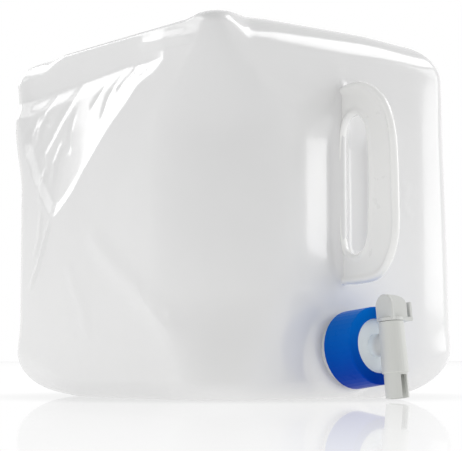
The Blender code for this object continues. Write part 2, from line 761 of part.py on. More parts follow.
def neck_solid(name, sections, parent, steps=TAP_STEPS):
    """A solid turned about the neck's centre line from (radius, reach) sections."""
    loops = [loop_about_neck(radius, reach, steps) for radius, reach in sections]
    return add_object(name, ring_of_loops(loops, closed_section=False), parent)


def stem_solid(name, sections, parent, place=(0, 0, 0)):
    """A solid turned about the stem's axis from (radius, height) sections."""
    loops = [loop_about_stem(radius, height) for radius, height in sections]
    made = add_object(name, ring_of_loops(loops, closed_section=False), parent)
    made.location = place
    return made


def tap_body(parent):
    """Flange, barrel, sleeve and outlet in one moulding, with its waterway and the stem's bore."""
    loops = [
        loop_about_neck(SPIGOT_RADIUS - SPIGOT_WALL, FLANGE_REAR - SPIGOT_LENGTH),
        loop_about_neck(SPIGOT_RADIUS, FLANGE_REAR - SPIGOT_LENGTH),
        loop_about_neck(SPIGOT_RADIUS, FLANGE_REAR),
        loop_about_neck(FLANGE_RADIUS, FLANGE_REAR),
        loop_about_neck(FLANGE_RADIUS, FLANGE_FRONT),
        loop_about_neck(BARREL_BORE_RADIUS, FLANGE_FRONT),
        loop_about_neck(BARREL_BORE_RADIUS, FLANGE_REAR),
        loop_about_neck(SPIGOT_RADIUS - SPIGOT_WALL, FLANGE_REAR),
    ]
    body = add_object("tap_body", ring_of_loops(loops), parent)
    on_axis = (0, -SLEEVE_REACH, 0)
    barrel_start = FLANGE_FRONT - FLANGE_THICKNESS / 2
    barrel = neck_solid("barrel", ((BARREL_RADIUS, barrel_start), (BARREL_RADIUS, SLEEVE_REACH)), parent)
    sleeve = stem_solid(
        "sleeve",
        (
            (SLEEVE_BOTTOM_RADIUS - KEY_EDGE, -SLEEVE_DROP),
            (SLEEVE_BOTTOM_RADIUS, KEY_EDGE - SLEEVE_DROP),
            (SLEEVE_TOP_RADIUS, SLEEVE_RISE - KEY_EDGE),
            (SLEEVE_TOP_RADIUS - KEY_EDGE, SLEEVE_RISE),
        ),
        parent,
        on_axis,
    )
    outlet_top = SLEEVE_FLOOR / 2 - SLEEVE_DROP
    outlet_sections = ((OUTLET_RADIUS, OUTLET_END), (OUTLET_RADIUS, outlet_top))
    outlet = stem_solid("outlet", outlet_sections, parent, on_axis)
    for joined in (barrel, sleeve, outlet):
        add_boolean(body, joined, "UNION")
    waterway = neck_solid(
        "barrel_bore_cutter",
        ((BARREL_BORE_RADIUS, FLANGE_REAR - OVERRUN), (BARREL_BORE_RADIUS, SLEEVE_REACH)),
        parent,
    )
    stem_bore = stem_solid(
        "stem_bore_cutter",
        ((SLEEVE_BORE_RADIUS, SLEEVE_FLOOR - SLEEVE_DROP), (SLEEVE_BORE_RADIUS, SLEEVE_RISE + OVERRUN)),
        parent,
        on_axis,
    )
    outlet_bore = stem_solid(
        "outlet_bore_cutter",
        ((OUTLET_BORE_RADIUS, OUTLET_END - OVERRUN), (OUTLET_BORE_RADIUS, -SLEEVE_DROP)),
        parent,
        on_axis,
    )
    floor_hole = stem_solid(
        "sleeve_floor_cutter",
        (
            (STEM_WATERWAY_RADIUS, -SLEEVE_DROP - OVERRUN),
            (STEM_WATERWAY_RADIUS, SLEEVE_FLOOR - SLEEVE_DROP + OVERRUN),
        ),
        parent,
        on_axis,
    )
    half_slot = OUTLET_SLOT_WIDTH / 2
    slot_top = -SLEEVE_DROP - OUTLET_SLOT_WIDTH / 4
    slot_outline = [
        (-half_slot, 0, OUTLET_END - OVERRUN),
        (half_slot, 0, OUTLET_END - OVERRUN),
        (half_slot, 0, slot_top),
        (-half_slot, 0, slot_top),
    ]
    outlet_slot = add_object("outlet_slot_cutter", prism(slot_outline, OUTLET_RADIUS, (0, 1, 0)), parent)
    outlet_slot.location = (0, -SLEEVE_REACH - OUTLET_RADIUS, 0)
    for cutter in (waterway, stem_bore, outlet_bore, floor_hole, outlet_slot):
        add_boolean(body, cutter, "DIFFERENCE")
    paint(body, "tap_white", (0.62, 0.63, 0.61), 0.35)
    return body


def arch_outline():
    """The upright plate of the key, seen along X: straight sides and a round top."""
    half = KEY_ARCH_WIDTH / 2
    spring = KEY_TOP - half
    foot = HUB_BOTTOM + KEY_EDGE
    outline = [(-KEY_ARCH_OFFSET, -half, foot), (-KEY_ARCH_OFFSET, half, foot)]
    for step in range(KEY_ARCH_STEPS + 1):
        angle = math.pi * step / KEY_ARCH_STEPS
        outline.append((-KEY_ARCH_OFFSET, half * math.cos(angle), spring + half * math.sin(angle)))
    return outline


def wing_outline():
    """The lever of the key, seen along Y: its top falls in a curve to its rounded tip."""
    foot = HUB_BOTTOM + KEY_EDGE
    outline = [(-KEY_ARCH_OFFSET, 0, foot), (KEY_WING_LENGTH, 0, foot)]
    for step in range(KEY_WING_STEPS + 1):
        angle = math.pi / 2 * step / KEY_WING_STEPS
        length_here = (KEY_WING_LENGTH + KEY_ARCH_OFFSET) * math.cos(angle) ** KEY_WING_POWER_SHARE
        top_here = KEY_TOP - KEY_EDGE - KEY_WING_DROP * (1 - math.sin(angle))
        outline.append((length_here - KEY_ARCH_OFFSET, 0, top_here))
    return outline


def tap_stem(parent):
    """The turning plug, its waterway and the key on top. It is shut with the key to the side."""
    stem = stem_solid(
        "tap_stem",
        (
            (STEM_RADIUS - KEY_EDGE, STEM_BOTTOM),
            (STEM_RADIUS, STEM_BOTTOM + KEY_EDGE),
            (STEM_RADIUS, HUB_BOTTOM),
            (KEY_HUB_RADIUS, HUB_BOTTOM),
            (KEY_HUB_RADIUS, HUB_TOP - KEY_EDGE),
            (KEY_HUB_RADIUS - KEY_EDGE, HUB_TOP),
        ),
        parent,
    )
    arch = add_object("key_arch", prism(arch_outline(), KEY_ARCH_THICKNESS, (1, 0, 0)), parent)
    wing = add_object("key_wing", prism(wing_outline(), KEY_WING_THICKNESS, (0, 1, 0)), parent)
    foot_outline = [
        (0, 0, HUB_TOP - KEY_FOOT_THICKNESS),
        (KEY_TAB_LENGTH, 0, HUB_TOP - KEY_FOOT_THICKNESS),
        (KEY_TAB_LENGTH, 0, HUB_TOP + KEY_EDGE),
        (0, 0, HUB_TOP + KEY_EDGE),
    ]
    foot = add_object("key_foot", prism(foot_outline, KEY_TAB_WIDTH, (0, 1, 0)), parent)
    tab_rear = KEY_TAB_LENGTH - KEY_TAB_THICKNESS
    tab_outline = [
        (tab_rear, 0, HUB_TOP - KEY_EDGE),
        (KEY_TAB_LENGTH, 0, HUB_TOP - KEY_EDGE),
        (KEY_TAB_LENGTH, 0, HUB_TOP + KEY_TAB_HEIGHT),
        (tab_rear, 0, HUB_TOP + KEY_TAB_HEIGHT),
    ]
    tab = add_object("key_tab", prism(tab_outline, KEY_TAB_WIDTH - KEY_EDGE * 2, (0, 1, 0)), parent)
    for joined in (arch, wing, foot, tab):
        add_bevel(joined, KEY_EDGE, 1)
        add_boolean(stem, joined, "UNION")
    waterway_top = STEM_PORT_RADIUS + STEM_WATERWAY_ROOF
    waterway = stem_solid(
        "stem_waterway_cutter",
        ((STEM_WATERWAY_RADIUS, STEM_BOTTOM - OVERRUN), (STEM_WATERWAY_RADIUS, waterway_top)),
        parent,
    )
    port_angles = [2 * math.pi * step / STEM_PORT_STEPS for step in range(STEM_PORT_STEPS)]
    round_port = [STEM_PORT_RADIUS * Vector((0, math.cos(angle), math.sin(angle))) for angle in port_angles]
    port_loops = []
    for x in (-STEM_RADIUS - OVERRUN, 0):
        port_loops.append([point + Vector((x, 0, 0)) for point in round_port])
    port = add_object("stem_port_cutter", ring_of_loops(port_loops, closed_section=False), parent)
    for cutter in (waterway, port):
        add_boolean(stem, cutter, "DIFFERENCE")
    paint(stem, "stem_white", (0.60, 0.61, 0.59), 0.35)
    return stem


def build():
    """Make every piece in its place."""
    remove_everything()
    bag_front_panel()
    bag_side_walls()
    rear_carrier = add_empty("rear_travel", (0, BAG_DEPTH / 2, BAG_HEIGHT / 2))
    bag_rear_panel(rear_carrier)
    carry_handle()
    neck_frame = add_empty("neck_frame", NECK_CENTRE, (-NECK_LEAN, 0, 0))
    bag_neck(neck_frame)
    ring_axis = add_empty("ring_axis", (0, -RING_REAR, 0), parent=neck_frame)
    cap_ring(ring_axis, RING_REAR)
    neck_gasket(neck_frame)
    tap_body(neck_frame)
    stem_axis = add_empty("stem_axis", (0, -SLEEVE_REACH, 0), parent=neck_frame)
    tap_stem(stem_axis)


build()
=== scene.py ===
"""Looks of the collapsible water carrier: its film, handle, ring and tap, the floor, the light and the camera.

Lengths are in metres, in the frame of the CAD model: the origin is the centre of the base on the ground,
+Z is up, and -Y is the face with the handle and the tap.
"""

import math

import bmesh
import bpy
import numpy as np
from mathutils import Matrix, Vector


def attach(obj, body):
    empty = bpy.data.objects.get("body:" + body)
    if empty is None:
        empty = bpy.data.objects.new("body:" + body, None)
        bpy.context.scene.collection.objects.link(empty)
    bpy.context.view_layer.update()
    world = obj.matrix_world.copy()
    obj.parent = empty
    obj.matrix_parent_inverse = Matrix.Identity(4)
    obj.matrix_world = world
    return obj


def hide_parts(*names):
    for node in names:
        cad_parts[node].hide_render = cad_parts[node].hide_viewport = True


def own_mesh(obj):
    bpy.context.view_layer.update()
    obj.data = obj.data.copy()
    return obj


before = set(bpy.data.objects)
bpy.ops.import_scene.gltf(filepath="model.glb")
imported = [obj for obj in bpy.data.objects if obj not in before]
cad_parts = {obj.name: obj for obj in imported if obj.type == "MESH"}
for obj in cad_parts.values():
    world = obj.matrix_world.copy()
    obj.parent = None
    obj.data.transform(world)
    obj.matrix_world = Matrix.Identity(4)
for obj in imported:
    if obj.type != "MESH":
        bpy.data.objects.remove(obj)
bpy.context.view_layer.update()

# The full bag before its folds. The near edge is the upright one between the left side and the front.
BAG = {
    # The box that it fills
    "width": 0.2715,
    "depth": 0.2990,
    "height": 0.3085,
    # Radii of the upright edges
    "near_edge": 0.0829,
    "near_edge_top": 0.0120,
    "near_edge_foot": 0.0431,
    "right_edge": 0.0180,
    "right_edge_more_at_middle": 0.0020,
    "right_edge_far": 0.0310,
    "far_edge": 0.0165,
    # Radii of the edges round the top and round the foot
    "top_edge": 0.0120,
    "top_edge_left": 0.0045,
    "top_edge_far": 0.0215,
    "top_edge_front": 0.0330,
    "foot_edge": 0.0150,
    "foot_edge_far": 0.0440,
    # How far the top and the sides are crowned
    "crown_top": 0.0028,
    "crown_side": 0.0020,
    # The right side: its lean in at the top, as a share of its place, and how it stands out and bends back
    "lean": 0.0652,
    "right_bulge": 0.0090,
    "right_bend": 0.0060,
    "right_bend_reach": 0.0500,
    # How far the far left edge stands back at its foot and at its top
    "corner_out": 0.0080,
    "corner_out_top": 0.0125,
    # How far the edges of the top are raised and lowered
    "front_edge_up": 0.0035,
    "front_rounding_up": 0.0022,
    "left_edge_down": 0.0045,
}

# Lines of the bag's grid across its width, depth and height, closer together where there are small forms
BAG_LINES = (
    np.linspace(-1, 1, 76),
    np.linspace(-1, 1, 140),
    np.concatenate([np.linspace(-1, 0, 58), np.linspace(0, 1, 103)[1:]]),
)

# How far in from the sides the middle of the top and of the base is taken to be
TOP_SPAN = 0.14

# A length under this is taken as none
TINY = 1e-9

# Neck frame of the CAD model: how far it leans back, and where its centre line leaves the front
NECK_LEAN = math.radians(6.5)
NECK_HEIGHT = 0.038493
FRONT_Y = -0.149

# The film round the neck: the radius of the hole in it, how far it is drawn out to a collar, and the radii between
# which the collar falls off. Only film before this y is film of the front.
FILM_HOLE_RADIUS = 0.0246
COLLAR_REACH = 0.0062
COLLAR_RADII = (0.031, 0.044)
FRONT_FILM_BEFORE_Y = -0.11


def ramp(value, start, end):
    """0 before start, 1 after end, and a smooth climb between them."""
    share = np.clip((value - start) / (end - start), 0, 1)
    return share * share * (3 - 2 * share)


def fall(value, start, end):
    """1 before start, 0 after end, and a smooth fall between them."""
    return ramp(-value, -end, -start)


def make_object(name, points, faces):
    """A smooth-shaded mesh object from points and faces."""
    mesh = bpy.data.meshes.new(name)
    mesh.from_pydata([tuple(map(float, point)) for point in points], [], [tuple(map(int, face)) for face in faces])
    mesh.update()
    mesh.shade_smooth()
    made = bpy.data.objects.new(name, mesh)
    bpy.context.scene.collection.objects.link(made)
    return made


# Materials


def new_material(name):
    """A node material, with its tree and its shader."""
    made = bpy.data.materials.new(name)
    made.use_nodes = True
    tree = made.node_tree
    return made, tree, tree.nodes["Principled BSDF"]


def set_inputs(node, values):
    """Set a node's own sockets to constant values."""
    for name, value in values.items():
        node.inputs[name].default_value = value


def noise(tree, scale, detail, stretch=(1, 1, 1)):
    """A noise texture in the object's own coordinates."""
    place = tree.nodes.new("ShaderNodeTexCoord")
    mapping = tree.nodes.new("ShaderNodeMapping")
    texture = tree.nodes.new("ShaderNodeTexNoise")
    set_inputs(mapping, {"Scale": stretch})
    set_inputs(texture, {"Scale": scale, "Detail": detail, "Roughness": 0.55})
    tree.links.new(place.outputs["Object"], mapping.inputs["Vector"])
    tree.links.new(mapping.outputs["Vector"], texture.inputs["Vector"])
    return texture.outputs["Fac"]


def spread_value(tree, source, low, high, start=0.3, end=0.7):
    """Map a value from start..end to low..high. The defaults are the range that a noise texture mostly covers."""
    node = tree.nodes.new("ShaderNodeMapRange")
    set_inputs(node, {"From Min": start, "From Max": end, "To Min": low, "To Max": high})
    tree.links.new(source, node.inputs["Value"])
    return node.outputs["Result"]


def two_tone(tree, source, dark, light, start=0.3, end=0.7):
    """A colour ramp between two tones."""
    node = tree.nodes.new("ShaderNodeValToRGB")
    for element, position, colour in zip(node.color_ramp.elements, (start, end), (dark, light)):
        element.position = position
        element.color = (*colour, 1)
    tree.links.new(source, node.inputs["Fac"])
    return node.outputs["Color"]


def share_along(tree, low, high, axis="Z"):
    """How far a point of the object is between two places along an axis, from 0 to 1."""
    place = tree.nodes.new("ShaderNodeTexCoord")
    parts = tree.nodes.new("ShaderNodeSeparateXYZ")
    tree.links.new(place.outputs["Object"], parts.inputs["Vector"])
    return spread_value(tree, parts.outputs[axis], 0, 1, low, high)


def tone(tree, texture, dark, light, rise, unevenness):
    """A colour between two tones, by a texture alone or by place with a little of the texture."""
    if not rise:
        return two_tone(tree, texture, dark, light)
    total = tree.nodes.new("ShaderNodeMath")
    tree.links.new(share_along(tree, *rise), total.inputs[0])
    tree.links.new(spread_value(tree, texture, -unevenness, unevenness), total.inputs[1])
    return two_tone(tree, total.outputs["Value"], dark, light, 0, 1)


def bump(tree, shader, layers):
    """Stack bump layers of (height, distance, strength) on a shader."""
    before = None
    for height, distance, strength in layers:
        node = tree.nodes.new("ShaderNodeBump")
        set_inputs(node, {"Distance": distance, "Strength": strength})
        tree.links.new(height, node.inputs["Height"])
        if before:
            tree.links.new(before, node.inputs["Normal"])
        before = node.outputs["Normal"]
    tree.links.new(before, shader.inputs["Normal"])


def film_material(name, dark, light, roughness, dimple, coat=0.4, glow=0.15, rise=None):
    """Milky blown film: a faint cloudiness, a slight haze in the gloss, and the soft dimples of blown film.

    With rise=(high, low) the film's colour is painted lighter from one height down to the other: painted light
    that stands in for light bounced up from the floor.
    """
    made, tree, shader = new_material(name)
    cloud = noise(tree, 9, 3)
    tree.links.new(tone(tree, cloud, dark, light, rise, 0.12), shader.inputs["Base Color"])
    haze = noise(tree, 55, 4)
    tree.links.new(spread_value(tree, haze, *roughness), shader.inputs["Roughness"])
    set_inputs(shader, {
        "IOR": 1.5,
        "Coat Weight": coat,
        "Coat Roughness": 0.08,
        "Subsurface Weight": glow,
        "Subsurface Radius": (0.006, 0.006, 0.006),
        "Subsurface Scale": 1.0,
    })
    dimples, pores = noise(tree, 34, 2), noise(tree, 420, 2)
    bump(tree, shader, ((dimples, dimple, 0.5), (pores, 0.00004, 0.25)))
    return made


def plastic_material(name, dark, light, roughness, specular=0.5, rise=None):
    """Injection-moulded plastic: slight flow variation, uneven gloss, a fine spark-eroded grain and faint sinks.

    With rise=(start, end) or (start, end, axis) the tone climbs from dark to light between these places along the
    axis, which is Z if none is named: painted light. Otherwise it follows the flow.
    """
    made, tree, shader = new_material(name)
    flow = noise(tree, 38, 3, stretch=(1, 1, 0.4))
    tree.links.new(tone(tree, flow, dark, light, rise, 0.06), shader.inputs["Base Color"])
    gloss = noise(tree, 160, 4)
    tree.links.new(spread_value(tree, gloss, *roughness), shader.inputs["Roughness"])
    set_inputs(shader, {"Specular IOR Level": specular})
    grain, sinks = noise(tree, 700, 2), noise(tree, 30, 2)
    bump(tree, shader, ((grain, 0.000012, 0.4), (sinks, 0.0003, 0.10)))
    return made


# Bag film: the full bag. A point of it has its place u, v, w in a box from -1 to 1, which is across, back and up.
# Seen from above, on_u and on_v are where the line from the centre through it meets the box's side, and reach is
# how far out it lies on that line, from 0 to 1.


def box_grid(lines):
    """The surface of a box from -1 to 1 as a grid with these lines: its points, and its quads facing out."""
    place = np.stack(np.meshgrid(*lines, indexing="ij"), -1)
    on_surface = np.abs(place).max(-1) > 1 - TINY
    index = -np.ones(on_surface.shape, int)
    index[on_surface] = np.arange(on_surface.sum())
    quads = []
    for side, flip in (
        (index[0], True), (index[-1], False), (index[:, 0], False),
        (index[:, -1], True), (index[:, :, 0], True), (index[:, :, -1], False),
    ):
        quad = np.stack([side[:-1, :-1], side[1:, :-1], side[1:, 1:], side[:-1, 1:]], -1).reshape(-1, 4)
        quads.append(quad[:, ::-1] if flip else quad)
    return place[on_surface], np.concatenate(quads)


def not_zero(length):
    """Lengths to divide by, with 1 in place of those that are 0."""
    return np.where(length > TINY, length, 1)


def upright_edges(w, on_u, on_v):
    """Radius of the upright edge that each point is nearest to."""
    at_top, at_foot, at_ends = ramp(w, 0.35, 1.0), ramp(-w, 0.45, 0.95), ramp(np.abs(w), 0.45, 0.95)
    near = BAG["near_edge"] + (BAG["near_edge_top"] - BAG["near_edge"]) * at_top
    near += (BAG["near_edge_foot"] - BAG["near_edge"]) * at_foot
    right = BAG["right_edge"] + BAG["right_edge_more_at_middle"] * (1 - at_ends)
    radius = np.where((on_u < 0) & (on_v < 0), near, BAG["far_edge"])
    radius = np.where((on_u > 0) & (on_v < 0), right, radius)
    return np.where((on_u > 0) & (on_v > 0), BAG["right_edge_far"], radius)


def level_edges(on_u, on_v, along_front):
    """Radius of the edge round the top, and of that round the foot, in each point's direction."""
    far = np.maximum(ramp(on_v, 0.3, 1) * (on_u < 0), ramp(on_u, 0.3, 1) * (on_v < 0))
    far = np.maximum(far, (on_u > 0) & (on_v > 0))
    along_left = (on_u < -0.5) * ramp(on_v, -0.98, -0.85) * fall(on_v, 0.45, 0.75)
    top = BAG["top_edge"] + (BAG["top_edge_far"] - BAG["top_edge"]) * far
    top = top + (BAG["top_edge_front"] - top) * along_front
    top = top + (BAG["top_edge_left"] - top) * along_left
    foot = BAG["foot_edge"] + (BAG["foot_edge_far"] - BAG["foot_edge"]) * far
    return top, foot


def round_box(w, on_u, on_v, reach, along_front):
    """Points and outward normals of a box with rounded edges that stands on the ground."""
    height = BAG["height"]
    half = np.array([BAG["width"], BAG["depth"]]) / 2
    edge = upright_edges(w, on_u, on_v)[:, None]
    plan = half * np.stack([on_u, on_v], 1)
    core = np.clip(plan, edge - half, half - edge)
    away = plan - core
    out = away / not_zero(np.linalg.norm(away, axis=1))[:, None]
    rim = core + edge * out
    top, foot = level_edges(on_u, on_v, along_front)
    inset = (1 - reach) * TOP_SPAN
    rise = w * height / 2
    radius = np.where(w > 0, top, foot)
    centre_in = np.minimum(-inset, -radius)
    centre_up = np.clip(rise, foot - height / 2, height / 2 - top)
    side, up = -inset - centre_in, rise - centre_up
    length = not_zero(np.hypot(side, up))
    scale = 1 + (centre_in + radius * side / length) / TOP_SPAN
    up_share = up / length
    side_share = np.sqrt(np.clip(1 - up_share ** 2, 0, 1))
    points = np.concatenate([rim * scale[:, None], (centre_up + radius * up_share + height / 2)[:, None]], 1)
    normals = np.concatenate([out * side_share[:, None], up_share[:, None]], 1)
    return points, normals


def crown(points, normals, u, v, on_u, on_v):
    """Crown the top and the sides."""
    level = points[:, 2] / BAG["height"] * 2 - 1
    points[:, 2] += BAG["crown_top"] * np.clip(normals[:, 2], 0, 1) * (1 - u ** 2) * (1 - v ** 2)
    hold = np.clip(1 - level ** 2, 0, 1)
    for axis, across in ((0, on_v), (1, on_u)):
        points[:, axis] += normals[:, axis] * BAG["crown_side"] * (1 - across ** 2) * hold


def shape_right_side(points, w):
    """Lean the right side in at its top, let it stand out near the front, and bend the front back beside it."""
    half_width, half_depth, height = BAG["width"] / 2, BAG["depth"] / 2, BAG["height"]
    right = points[:, 0] > 0
    points[right, 0] *= 1 - BAG["lean"] * ramp(points[right, 2], 0.05, height)
    share = np.clip(points[:, 0] / half_width, 0, None)
    between_ends = ramp(points[:, 2], 0.0, 0.05) * fall(points[:, 2], height - 0.06, height)
    near_front = ramp(-points[:, 1], 0.020, 0.130)
    points[:, 0] += BAG["right_bulge"] * share * between_ends * near_front
    from_start = points[:, 0] - half_width + BAG["right_bend_reach"]
    bend = BAG["right_bend"] * (np.clip(from_start, 0, None) / BAG["right_bend_reach"]) ** 2
    towards_front, at_ends = ramp(-points[:, 1], 0, half_depth), ramp(np.abs(w), 0.6, 0.98)
    points[:, 1] += bend * towards_front * (1 - at_ends)


def pull_edges(points, w, on_u, on_v, reach, along_front):
    """Pull the far left edge back, raise the top's front edge and lower its left one."""
    outer = ramp(reach, 0.55, 1.0)
    at_corner = ramp(on_v, 0.5, 1) * (on_u < 0) * ramp(-on_u, 0.5, 1) * outer
    at_foot, at_top = ramp(-w, 0.55, 0.9), ramp(w, 0.20, 0.60)
    points[:, 1] += (BAG["corner_out"] * at_foot + BAG["corner_out_top"] * at_top) * at_corner
    high = ramp(points[:, 2], 0.23, 0.29) * outer
    at_front, at_left = ramp(-on_v, 0.3, 1), ramp(-on_u, 0.3, 1)
    between_corners = ramp(on_u, -1.0, -0.5) * fall(on_u, 0.3, 1.0)
    less_at_far_end = 1 - 0.7 * ramp(on_v, 0.5, 1.0)
    points[:, 2] += BAG["front_edge_up"] * high * at_front * between_corners
    points[:, 2] += BAG["front_rounding_up"] * high * along_front * at_front
    points[:, 2] -= BAG["left_edge_down"] * high * at_left * ramp(on_v, -1.0, -0.75) * less_at_far_end


def full_bag(unit):
    """Bend a box grid into the full bag. Returns its points and outward normals."""
    u, v, w = unit.T
    reach = np.maximum(np.abs(u), np.abs(v))
    on_u, on_v = u / not_zero(reach), v / not_zero(reach)
    along_front = ramp(on_u, -0.90, -0.70) * (on_v < -0.5)
    points, normals = round_box(w, on_u, on_v, reach, along_front)
    crown(points, normals, u, v, on_u, on_v)
    shape_right_side(points, w)
    pull_edges(points, w, on_u, on_v, reach, along_front)
    return points, normals


# Bag film: folds, creases and finger recesses. A place on the left or the right side is given as (y, z), on the
# front or the rear as (x, z), and on the top as (x, y).


# The share of a stroke over which each end of it fades, and the power of e at which a round ridge has faded
STROKE_END = 0.22
FADED = 3


def along(path, values):
    """Read a path of (place, value) pairs at the given places. It goes straight on past both ends."""
    places, heights = zip(*sorted(path))
    slope_before = (heights[1] - heights[0]) / (places[1] - places[0])
    slope_after = (heights[-1] - heights[-2]) / (places[-1] - places[-2])
    read = np.interp(values, places, heights)
    read = np.where(values < places[0], heights[0] + slope_before * (values - places[0]), read)
    return np.where(values > places[-1], heights[-1] + slope_after * (values - places[-1]), read)


def stroke(across, up, path, height, width, tent=False):
    """A ridge along a path on one side of the bag, fading at both ends. Its width is to where it has faded.

    It is round, or with tent=True it has a sharp top and straight flanks.
    """
    path = np.array(path)
    lengths = np.concatenate([[0], np.cumsum(np.linalg.norm(np.diff(path, axis=0), axis=1))])
    nearest = np.full(across.shape, np.inf)
    share = np.zeros(across.shape)
    for start, end, before, after in zip(path, path[1:], lengths, lengths[1:]):
        step = end - start
        t = ((across - start[0]) * step[0] + (up - start[1]) * step[1]) / (step @ step)
        t = np.clip(t, 0, 1)
        gap = np.hypot(across - start[0] - t * step[0], up - start[1] - t * step[1])
        closer = gap < nearest
        nearest = np.where(closer, gap, nearest)
        share = np.where(closer, (before + t * (after - before)) / lengths[-1], share)
    fade = ramp(share, 0, STROKE_END) * fall(share, 1 - STROKE_END, 1)
    if tent:
        return height * np.clip(1 - nearest / width, 0, 1) * fade
    return height * np.exp(-(nearest / width) ** 2 * FADED) * fade


def relief_of(strokes, across, up):
    """Add up strokes of (path, height, width)."""
    return sum(stroke(across, up, path, height, width) for path, height, width in strokes)


# The big fold in the left side's top far corner. Two creases bound it: the near one is read by y, as (y, z), and
# the far one by z, as (z, y). A valley crosses it below the top.
FOLD_NEAR = (
    (-0.148, 0.3045), (-0.1296, 0.2981), (-0.1178, 0.2937), (-0.0992, 0.2822), (-0.0678, 0.2665),
    (-0.0466, 0.2578), (-0.0324, 0.2463), (-0.0059, 0.2283), (0.0091, 0.2154), (0.0308, 0.1959),
    (0.0483, 0.1783), (0.0681, 0.1640), (0.0835, 0.1545),
)
FOLD_FAR = (
    (0.2831, 0.1444), (0.2518, 0.1418), (0.2296, 0.1359), (0.1994, 0.1195), (0.1722, 0.0980), (0.1545, 0.0835),
)
FOLD_VALLEY = (
    (0.1189, 0.2721), (0.0893, 0.2745), (0.0458, 0.2773), (0.0075, 0.2787),
    (-0.0186, 0.2799), (-0.0454, 0.2783), (-0.0741, 0.2763),
)
FOLD_TOP = 0.3060

# Where both creases are equally near, the floor is softened over this distance
FOLD_SOFTNESS = 0.004

# What turns a height over the near crease, or a distance along y to the far one, into a distance from the crease
NEAR_SLANT = 0.83
FAR_SLANT = 0.90

# The fold's floor: a steep wall beside the crease, and a gentle slope that levels off
WALL_REACH = 0.010
WALL_SLOPE = 0.33
FLOOR_REACH = 0.045
FLOOR_SLOPE = 0.16

# The step down into the valley
STEP_DEPTH = 0.0035
STEP_WIDTH = 0.016
STEP_FADE = 0.02

LEFT_CREASES = (
    # In the fold
    (((-0.0186, 0.2780), (0.0041, 0.2556), (0.0132, 0.2342)), -0.0009, 0.0050),
    (((0.0073, 0.2700), (0.0340, 0.2491)), -0.0008, 0.0045),
    (((-0.0380, 0.2780), (-0.0100, 0.2580)), -0.0007, 0.0040),
    (((0.0458, 0.2790), (0.0836, 0.2464), (0.1072, 0.2200), (0.1033, 0.1977)), -0.0010, 0.0070),
    (((0.0900, 0.2720), (0.1080, 0.2560), (0.0940, 0.2386)), -0.0008, 0.0050),
    (((0.0980, 0.2620), (0.1120, 0.2440), (0.1180, 0.2220)), 0.0009, 0.0045),
    (((0.1150, 0.2600), (0.1270, 0.2380), (0.1290, 0.2150)), -0.0008, 0.0045),
    (((0.0740, 0.2300), (0.0880, 0.2080), (0.0900, 0.1850)), 0.0008, 0.0050),
    (((0.1000, 0.2080), (0.1060, 0.1880), (0.1010, 0.1700)), 0.0008, 0.0042),
    (((0.0580, 0.2560), (0.0660, 0.2340), (0.0640, 0.2120)), -0.0007, 0.0050),
    # Down from the fold's point
    (((0.0835, 0.1600), (0.0951, 0.1355), (0.1084, 0.1118), (0.1238, 0.0900)), 0.0016, 0.0035),
    (((0.1009, 0.1700), (0.1038, 0.1396), (0.1156, 0.1200)), 0.0011, 0.0040),
    # The long low ridge towards the near foot, with two crinkles on it, and one beside it
    (
        ((0.0330, 0.1500), (-0.0048, 0.1202), (-0.0518, 0.0890), (-0.0885, 0.0622), (-0.1200, 0.0380)),
        0.0019, 0.0170,
    ),
    (((-0.0500, 0.0975), (-0.0575, 0.0888), (-0.0630, 0.0805), (-0.0699, 0.0738)), 0.0006, 0.0022),
    (((-0.0680, 0.0745), (-0.0802, 0.0671), (-0.0863, 0.0622), (-0.0960, 0.0540)), 0.0006, 0.0020),
    (((0.0600, 0.1200), (0.0300, 0.0750), (0.0200, 0.0400)), 0.0007, 0.0120),
)

# The sharp ridge under the left side's top edge
TOP_RIDGE = ((-0.0420, 0.2935), (-0.0677, 0.2924), (-0.1078, 0.2902), (-0.1340, 0.2890))
TOP_RIDGE_HEIGHT = 0.0022
TOP_RIDGE_WIDTH = 0.0075

FRONT_CREASES = (
    (((0.0640, 0.1900), (0.0740, 0.1760), (0.0700, 0.1640), (0.0820, 0.1500)), 0.0004, 0.0030),
    (((0.0760, 0.1850), (0.0800, 0.1700)), 0.0003, 0.0025),
    (((-0.1000, 0.2600), (-0.0700, 0.2480), (-0.0400, 0.2360)), 0.0009, 0.0110),
    (((-0.0060, 0.2740), (0.0060, 0.2745)), 0.0005, 0.0018),
    (((-0.0900, 0.0600), (-0.0500, 0.0900), (-0.0300, 0.0950)), 0.0006, 0.0120),
)

